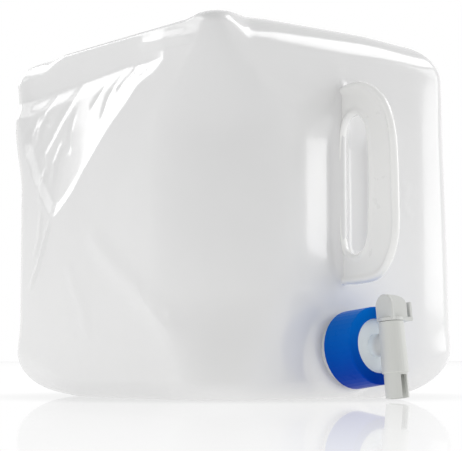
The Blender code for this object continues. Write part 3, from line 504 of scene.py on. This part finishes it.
# Creases that the film keeps from being folded flat, on the sides that the photo doesn't show
RIGHT_CREASES = (
    (((-0.110, 0.270), (-0.040, 0.205), (0.010, 0.165), (0.060, 0.120)), 0.0016, 0.0120),
    (((0.105, 0.275), (0.070, 0.225), (0.020, 0.170)), -0.0015, 0.0110),
    (((0.020, 0.165), (-0.020, 0.110), (-0.075, 0.050)), -0.0012, 0.0130),
    (((0.060, 0.118), (0.085, 0.080), (0.110, 0.045)), 0.0012, 0.0100),
    (((0.030, 0.240), (0.045, 0.228), (0.050, 0.208)), 0.0008, 0.0045),
    (((-0.060, 0.215), (-0.050, 0.190), (-0.030, 0.178)), -0.0006, 0.0040),
    (((0.075, 0.145), (0.090, 0.130), (0.112, 0.126)), 0.0007, 0.0040),
    (((-0.090, 0.100), (-0.070, 0.085), (-0.062, 0.066)), 0.0006, 0.0040),
)
REAR_CREASES = (
    (((-0.105, 0.275), (-0.060, 0.225), (-0.010, 0.170), (0.030, 0.130)), 0.0017, 0.0110),
    (((0.105, 0.268), (0.065, 0.215), (0.030, 0.165)), -0.0014, 0.0120),
    (((0.030, 0.130), (0.060, 0.085), (0.098, 0.045)), 0.0013, 0.0110),
    (((-0.020, 0.150), (-0.060, 0.100), (-0.100, 0.048)), -0.0013, 0.0120),
    (((-0.030, 0.245), (-0.005, 0.232), (0.010, 0.212)), -0.0008, 0.0045),
    (((0.060, 0.175), (0.078, 0.160), (0.082, 0.138)), 0.0007, 0.0040),
    (((-0.085, 0.150), (-0.070, 0.135), (-0.070, 0.112)), 0.0007, 0.0042),
    (((-0.010, 0.080), (0.010, 0.070), (0.024, 0.050)), 0.0006, 0.0040),
)
TOP_CREASES = (
    (((-0.100, -0.110), (-0.050, -0.055), (-0.005, -0.010), (0.045, 0.050), (0.090, 0.105)), 0.0016, 0.0110),
    (((0.095, -0.112), (0.055, -0.060), (0.010, -0.005)), -0.0014, 0.0120),
    (((-0.010, 0.005), (-0.055, 0.060), (-0.090, 0.105)), -0.0013, 0.0120),
    (((-0.060, 0.010), (-0.040, 0.022), (-0.030, 0.045)), 0.0007, 0.0042),
    (((0.040, -0.020), (0.060, -0.030), (0.070, -0.052)), 0.0007, 0.0042),
    (((0.020, 0.085), (0.035, 0.095), (0.052, 0.092)), -0.0006, 0.0040),
)

# The finger recesses beside the handle's root, which is at x = 0. The left one slopes in from its outer side,
# softly at first, to a wall at the root. The right one has a level floor between two walls.
RECESS = {
    "foot": (0.098, 0.128),
    "head": (0.2060, 0.2380),
    "left_start": 0.053,
    "left_width": 0.048,
    "left_softness": 0.016,
    "left_slope": 0.150,
    "left_wall": (0.002, 0.009),
    "right_depth": 0.0110,
    "right_wall": (0.002, 0.018),
    "right_outer_wall": (0.034, 0.048),
}

# The raised line along which the handle leaves the film
ROOT = {"height": 0.0030, "width": 0.0034, "foot": (0.088, 0.100), "head": (0.254, 0.268)}


# Between these parts of its outward normal, a point gets none and all of the relief of the side that it faces
FACING_LEFT = (0.05, 0.45)
FACING_FRONT = (0.25, 0.85)
FACING_UNSEEN = (0.6, 0.95)


def dish(depth_in):
    """Depth of the fold's floor at a distance in from its crease: steep at first, then gentle."""
    steep = np.clip(depth_in, 0, WALL_REACH)
    rest = np.clip(depth_in - WALL_REACH, 0, None)
    return steep * WALL_SLOPE + FLOOR_REACH * (1 - np.exp(-rest / FLOOR_REACH)) * FLOOR_SLOPE


def from_creases(y, z):
    """Distances in from the fold's near crease and from its far one."""
    return (z - along(FOLD_NEAR, y)) * NEAR_SLANT, (along(FOLD_FAR, z) - y) * FAR_SLANT


def big_fold(y, z):
    """How far the left side is pressed in by its big fold."""
    from_near, from_far = from_creases(y, z)
    inside = np.minimum(from_near, from_far)
    inside = inside - FOLD_SOFTNESS * np.exp(-np.abs(from_near - from_far) / FOLD_SOFTNESS) * (inside > 0)
    valley = along(FOLD_VALLEY, y)
    from_near, from_far = from_creases(y, valley)
    stepped = ramp(from_near, 0.0, STEP_FADE)
    at_valley = dish(np.minimum(from_near, from_far)) + STEP_DEPTH * stepped
    below = dish(inside) + STEP_DEPTH * ramp(z, valley - STEP_WIDTH, valley) * stepped
    above = at_valley * np.clip((FOLD_TOP - z) / (FOLD_TOP - valley), 0, 1)
    return np.where(z < valley, np.minimum(below, at_valley), above)


def left_relief(y, z):
    """Outward relief of the left side: the fold, the creases and the ridge under the top edge."""
    ridge = stroke(y, z, TOP_RIDGE, TOP_RIDGE_HEIGHT, TOP_RIDGE_WIDTH, tent=True)
    return relief_of(LEFT_CREASES, y, z) - big_fold(y, z) + ridge


def front_relief(x, z):
    """Outward relief of the front: the finger recesses, the root of the handle and small crinkles."""
    inwards = np.clip(RECESS["left_start"] + x, 0, RECESS["left_width"]) * (x < 0)
    soft = RECESS["left_softness"]
    slope = np.where(inwards < soft, inwards ** 2 / (2 * soft), inwards - soft / 2)
    left = RECESS["left_slope"] * slope * ramp(-x, *RECESS["left_wall"])
    right = RECESS["right_depth"] * ramp(x, *RECESS["right_wall"]) * fall(x, *RECESS["right_outer_wall"])
    recesses = (left + right) * ramp(z, *RECESS["foot"]) * fall(z, *RECESS["head"])
    root = ROOT["height"] * np.exp(-(x / ROOT["width"]) ** 2) * ramp(z, *ROOT["foot"]) * fall(z, *ROOT["head"])
    return relief_of(FRONT_CREASES, x, z) - recesses + root


def add_relief(points, normals):
    """Move each side's points out by its relief, as far as they face that side."""
    x, y, z = points.copy().T
    points[:, 0] -= ramp(-normals[:, 0], *FACING_LEFT) * left_relief(y, z)
    points[:, 1] -= ramp(-normals[:, 1], *FACING_FRONT) * front_relief(x, z)
    points[:, 0] += ramp(normals[:, 0], *FACING_UNSEEN) * relief_of(RIGHT_CREASES, y, z)
    points[:, 1] += ramp(normals[:, 1], *FACING_UNSEEN) * relief_of(REAR_CREASES, x, z)
    points[:, 2] += ramp(normals[:, 2], *FACING_UNSEEN) * relief_of(TOP_CREASES, x, y)


def neck_reach_and_radius(points):
    """Where points lie in the neck's own frame: reach along its centre line, and distance from it."""
    from_centre = points - np.array([0, FRONT_Y, NECK_HEIGHT])
    cos, sin = math.cos(NECK_LEAN), math.sin(NECK_LEAN)
    reach = -(from_centre[:, 1] * cos - from_centre[:, 2] * sin)
    up = from_centre[:, 1] * sin + from_centre[:, 2] * cos
    return reach, np.hypot(from_centre[:, 0], up)


def raise_collar(points, normals):
    """Draw the film round the neck out along the neck's centre line."""
    reach, radius = neck_reach_and_radius(points)
    rise = fall(radius, *COLLAR_RADII) * ramp(-normals[:, 1], 0.0, 0.3)
    axis = np.array([0, -math.cos(NECK_LEAN), math.sin(NECK_LEAN)])
    points += axis * (rise * np.clip(COLLAR_REACH - reach, 0, None))[:, None]


def open_neck(points, quads):
    """Leave out the film inside the neck, and the points that no face uses."""
    middle = points[quads].mean(1)
    radius = neck_reach_and_radius(middle)[1]
    quads = quads[~((radius < FILM_HOLE_RADIUS) & (middle[:, 1] < FRONT_FILM_BEFORE_Y))]
    used = np.unique(quads)
    number = -np.ones(len(points), int)
    number[used] = np.arange(len(used))
    return points[used], number[quads]


def make_bag():
    """The film bag in one piece, open only at the neck."""
    unit, quads = box_grid(BAG_LINES)
    points, normals = full_bag(unit)
    add_relief(points, normals)
    raise_collar(points, normals)
    bag = make_object("bag_film", *open_neck(points, quads))
    # The film's colour is painted lighter from 0.26 m down to 0.01 m: painted light for the light bounced up from
    # the floor.
    bag.data.materials.append(film_material(
        "milky_film", dark=(0.805, 0.805, 0.805), light=(0.925, 0.925, 0.922),
        roughness=(0.13, 0.20), dimple=0.0004, rise=(0.26, 0.01),
    ))
    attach(bag, "bag")
    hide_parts("bag_front_panel", "bag_side_walls", "bag_rear_panel")
    return bag


# Handle: its rim and its slot are given as (reach from the front, height)

HANDLE_OUTLINE = (
    (-0.008, 0.2545), (0.000, 0.2575), (0.008, 0.2592), (0.016, 0.2600), (0.028, 0.2590), (0.0421, 0.2523),
    (0.0560, 0.2380), (0.0635, 0.2177), (0.0662, 0.1930), (0.0670, 0.1650), (0.0668, 0.1360),
    (0.0621, 0.1172), (0.0540, 0.1040), (0.0425, 0.0962), (0.0250, 0.0938), (0.0080, 0.0935),
    (0.000, 0.0930), (-0.008, 0.0950),
)
SLOT_RIM = (
    (0.0190, 0.2322), (0.0265, 0.2285), (0.0325, 0.2190), (0.0345, 0.2060), (0.0350, 0.1780), (0.0345, 0.1440),
    (0.0330, 0.1310), (0.0270, 0.1215), (0.0170, 0.1178), (0.0080, 0.1225), (0.0045, 0.1330),
    (0.0040, 0.1480), (0.0040, 0.1780), (0.0040, 0.2060), (0.0050, 0.2190), (0.0095, 0.2280),
)

# Points round the whole rim and along its free part, points round the slot to choose from, and rows across a face
RIM_POINTS = 220
FREE_RIM_POINTS = 150
SLOT_POINTS = 2000
HANDLE_ROWS = 27

# Points that a smooth path gets between two given ones, before it is spaced evenly
CURVE_STEPS = 40

# Half the thickness of the web and of the beads at its edges, the beads' radius, and how soon they run out
WEB = 0.0020
BEAD = 0.0036
BEAD_RADIUS = 0.0036
BEAD_FADE = 0.0022


def smooth_path(points, count, closed=False):
    """Evenly spaced points on a smooth curve through the given ones."""
    points = np.array(points, float)
    if closed:
        padded = np.concatenate([points[-1:], points, points[:2]])
    else:
        padded = np.concatenate([[points[0] * 2 - points[1]], points, [points[-1] * 2 - points[-2]]])
    fine = []
    t = np.linspace(0, 1, CURVE_STEPS, endpoint=False)[:, None]
    for before, start, end, after in zip(padded, padded[1:], padded[2:], padded[3:]):
        fine.append(
            (start * 2 + (end - before) * t + (before * 2 - start * 5 + end * 4 - after) * t ** 2
             + (start * 3 - before - end * 3 + after) * t ** 3) / 2
        )
    fine.append(points[:1] if closed else points[-1:])
    fine = np.concatenate(fine)
    lengths = np.concatenate([[0], np.cumsum(np.linalg.norm(np.diff(fine, axis=0), axis=1))])
    wanted = np.linspace(0, lengths[-1], count, endpoint=not closed)
    return np.stack([np.interp(wanted, lengths, fine[:, axis]) for axis in range(2)], 1)


def handle_rim_and_slot():
    """Points round the handle's rim, and for each the point of the slot's rim in the same direction."""
    free = smooth_path(HANDLE_OUTLINE, FREE_RIM_POINTS)
    root = np.linspace(free[-1], free[0], RIM_POINTS - FREE_RIM_POINTS + 2)[1:-1]
    rim = np.concatenate([free, root])
    slot = smooth_path(SLOT_RIM, SLOT_POINTS, closed=True)
    centre = slot.mean(0)
    slot_angle = np.arctan2(*(slot - centre).T)
    rim_angle = np.arctan2(*(rim - centre).T)
    gap = np.abs(np.angle(np.exp(1j * (slot_angle[None] - rim_angle[:, None]))))
    return rim, slot[gap.argmin(1)]


def handle_lift(from_edge):
    """Half the handle's thickness at a distance from its nearer edge: a round bead that runs out into the web."""
    bead = BEAD * np.sqrt(np.clip(1 - (1 - from_edge / BEAD_RADIUS) ** 2, 0, 1))
    web = WEB + (BEAD - WEB) * np.exp(-(np.clip(from_edge - BEAD_RADIUS, 0, None) / BEAD_FADE) ** 2)
    return np.where(from_edge < BEAD_RADIUS, bead, web)


def face_outwards(piece):
    """Make a piece's faces look outwards."""
    bm = bmesh.new()
    bm.from_mesh(piece.data)
    bmesh.ops.recalc_face_normals(bm, faces=bm.faces)
    bm.to_mesh(piece.data)
    bm.free()
    piece.data.shade_smooth()


def make_handle():
    """The flat D of pinched film: a thin web between a round bead at its rim and one at the hand slot."""
    rim, inner = handle_rim_and_slot()
    width = np.linalg.norm(rim - inner, axis=1)
    shares = (1 - np.cos(np.linspace(0, math.pi, HANDLE_ROWS))) / 2
    loops = []
    for side, rows in ((1, shares), (-1, shares[-2:0:-1])):
        for share in rows:
            lift = handle_lift(np.minimum(share, 1 - share) * width) * side
            place = inner + (rim - inner) * share
            loops.append(np.stack([lift, FRONT_Y - place[:, 0], place[:, 1]], 1))
    grid = np.arange(len(loops) * len(rim)).reshape(len(loops), len(rim))
    after = np.roll(grid, -1, 0)
    quads = np.stack([grid, np.roll(grid, -1, 1), np.roll(after, -1, 1), after], -1).reshape(-1, 4)
    handle = make_object("handle_film", np.concatenate(loops), quads)
    face_outwards(handle)
    handle.data.materials.append(film_material(
        "thick_film", dark=(0.93, 0.93, 0.915), light=(0.955, 0.955, 0.94),
        roughness=(0.27, 0.30), dimple=0.0001, coat=1.0, glow=0.0,
    ))
    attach(handle, "bag")
    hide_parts("carry_handle")


# CAD pieces that keep their shape

EDGE_BEVEL = 0.0004
SHARP_ANGLE = math.radians(40)


def dress(node, material):
    """Give a CAD node its material, and soften its edges."""
    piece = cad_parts[node]
    piece.data.materials.clear()
    piece.data.materials.append(material)
    softened = piece.modifiers.new("softened_edges", "BEVEL")
    softened.width = EDGE_BEVEL
    softened.segments = 2
    softened.limit_method = "ANGLE"
    softened.angle_limit = SHARP_ANGLE
    softened.harden_normals = True


def dress_cad():
    """Materials of the neck, the ring, the gasket and the tap."""
    dress("bag_neck", film_material(
        "neck_film", dark=(0.80, 0.80, 0.79), light=(0.84, 0.84, 0.83), roughness=(0.22, 0.30), dimple=0.0002,
    ))
    # The ring's blue is painted lighter towards its top: painted light for the light that falls on its top and
    # passes through the blue plastic.
    dress("cap_ring", plastic_material(
        "ring_blue", dark=(0.0, 0.030, 0.36), light=(0.0, 0.165, 0.66), roughness=(0.26, 0.34), specular=0.03,
        rise=(0.008, 0.074),
    ))
    dress("neck_gasket", plastic_material(
        "gasket_rubber", dark=(0.50, 0.50, 0.50), light=(0.58, 0.58, 0.57), roughness=(0.55, 0.7),
    ))
    # The flange that sits inside the ring is painted a paler, bluish white: painted light for the light that
    # passes through it in the ring's shade and picks up the ring's blue.
    dress("tap_body", plastic_material(
        "tap_white", dark=(0.72, 0.73, 0.70), light=(0.93, 0.98, 0.99), roughness=(0.34, 0.44), specular=0.4,
        rise=(-0.198, -0.193, "Y"),
    ))
    dress("tap_stem", plastic_material(
        "stem_white", dark=(0.68, 0.69, 0.67), light=(0.73, 0.74, 0.715), roughness=(0.34, 0.44), specular=0.4,
    ))


# Floor, light and camera

# The floor: half its side, how far it lies under the object, and the distances between which it fades to white
FLOOR_HALF_SIZE = 14.0
FLOOR_DROP = 0.0004
FLOOR_FADE = (0.14, 0.26)

# How much of the floor is plain white close to the object, and how bright that white is there. The white is dimmer
# close to the object: painted shade round it.
WHITE_SHARE = 0.86
WHITE_STRENGTH = 0.84

# Strength of the light from all sides
AMBIENT = 0.53

# Soft lamps, turned to one point: place, size and radiance
LAMP_AIM = (0, 0, 0.16)
LAMPS = {
    "softbox_behind_left": ((-0.47, 1.98, 1.10), (1.35, 0.85), 2.2),
    "softbox_high_left": ((-1.42, 0.86, 1.00), (1.2, 0.6), 1.8),
    "softbox_high_right": ((1.40, -0.75, 1.60), (1.0, 0.70), 3.6),
    "softbox_right": ((1.74, -0.99, 0.66), (0.66, 1.12), 2.1),
}

CAMERA_PLACE = (-0.84313, -1.07183, 0.0332)
CAMERA_RISE = 5.02
CAMERA_TURN = -38.24
CAMERA_LENS = 117.95


def mix_shaders(tree, share, first, second):
    """Mix two shaders by the share of the second."""
    node = tree.nodes.new("ShaderNodeMixShader")
    tree.links.new(share, node.inputs["Fac"])
    tree.links.new(first, node.inputs[1])
    tree.links.new(second, node.inputs[2])
    return node.outputs["Shader"]


def make_floor():
    """A pale glossy floor that keeps the object's shadow, has a painted shade of dimmer white round the object,
    and fades to white away from it.
    """
    bm = bmesh.new()
    bmesh.ops.create_grid(bm, x_segments=8, y_segments=8, size=FLOOR_HALF_SIZE)
    mesh = bpy.data.meshes.new("floor")
    bm.to_mesh(mesh)
    bm.free()
    floor = bpy.data.objects.new("floor", mesh)
    floor.location.z = -FLOOR_DROP
    bpy.context.scene.collection.objects.link(floor)
    made, tree, shader = new_material("pale_floor")
    set_inputs(shader, {"Base Color": (0.70, 0.70, 0.70, 1), "Roughness": 0.9, "Specular IOR Level": 0.0})
    place = tree.nodes.new("ShaderNodeTexCoord")
    length = tree.nodes.new("ShaderNodeVectorMath")
    length.operation = "LENGTH"
    tree.links.new(place.outputs["Object"], length.inputs[0])
    white_share = spread_value(tree, length.outputs["Value"], WHITE_SHARE, 1, *FLOOR_FADE)
    white_share.node.interpolation_type = "SMOOTHSTEP"
    # The white glows dimmer close to the object: painted shade.
    strength = spread_value(tree, white_share, WHITE_STRENGTH, 1, WHITE_SHARE, 1)
    white = tree.nodes.new("ShaderNodeEmission")
    tree.links.new(strength, white.inputs["Strength"])
    mirror = tree.nodes.new("ShaderNodeBsdfGlossy")
    set_inputs(mirror, {"Color": (1, 1, 1, 1), "Roughness": 0.03})
    fresnel = tree.nodes.new("ShaderNodeFresnel")
    set_inputs(fresnel, {"IOR": 1.012})
    body = mix_shaders(tree, white_share, shader.outputs["BSDF"], white.outputs["Emission"])
    surface = mix_shaders(tree, fresnel.outputs["Fac"], body, mirror.outputs["BSDF"])
    tree.links.new(surface, tree.nodes["Material Output"].inputs["Surface"])
    mesh.materials.append(made)


def maximum(tree, first, second):
    """The larger of two values."""
    node = tree.nodes.new("ShaderNodeMath")
    node.operation = "MAXIMUM"
    tree.links.new(first, node.inputs[0])
    tree.links.new(second, node.inputs[1])
    return node.outputs["Value"]


def background(tree, strength):
    """A white background of some strength."""
    node = tree.nodes.new("ShaderNodeBackground")
    set_inputs(node, {"Color": (1, 1, 1, 1), "Strength": strength})
    return node.outputs["Background"]


def softbox(name, place, size, radiance):
    """A rectangular soft lamp of even brightness."""
    lamp = bpy.data.lights.new(name, "AREA")
    lamp.shape = "RECTANGLE"
    lamp.size, lamp.size_y = size
    lamp.energy = radiance * math.pi * size[0] * size[1]
    made = bpy.data.objects.new(name, lamp)
    made.location = place
    made.rotation_euler = (Vector(LAMP_AIM) - Vector(place)).to_track_quat("-Z", "Y").to_euler()
    bpy.context.scene.collection.objects.link(made)


def light_scene():
    """Plain soft studio light, and a white surrounding for the camera, reflections and see-through rays."""
    world = bpy.data.worlds.new("studio")
    world.use_nodes = True
    tree = world.node_tree
    tree.nodes.clear()
    output = tree.nodes.new("ShaderNodeOutputWorld")
    rays = tree.nodes.new("ShaderNodeLightPath").outputs
    seen = maximum(tree, rays["Is Camera Ray"], rays["Is Glossy Ray"])
    seen = maximum(tree, seen, rays["Is Transmission Ray"])
    surrounding = mix_shaders(tree, seen, background(tree, AMBIENT), background(tree, 1.0))
    tree.links.new(surrounding, output.inputs["Surface"])
    bpy.context.scene.world = world
    for name, (place, size, radiance) in LAMPS.items():
        softbox(name, place, size, radiance)


def make_camera():
    """The photo's view: low beside the near corner, a little upwards."""
    lens = bpy.data.cameras.new("camera")
    lens.sensor_width = 36
    lens.lens = CAMERA_LENS
    lens.clip_start = 0.01
    made = bpy.data.objects.new("camera", lens)
    made.location = CAMERA_PLACE
    made.rotation_euler = (math.radians(90 + CAMERA_RISE), 0, math.radians(CAMERA_TURN))
    bpy.context.scene.collection.objects.link(made)
    bpy.context.scene.camera = made


make_camera()
bag = make_bag()
make_handle()
dress_cad()
make_floor()
light_scene()
bpy.context.scene.view_settings.view_transform = "Standard"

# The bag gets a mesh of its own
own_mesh(bag)
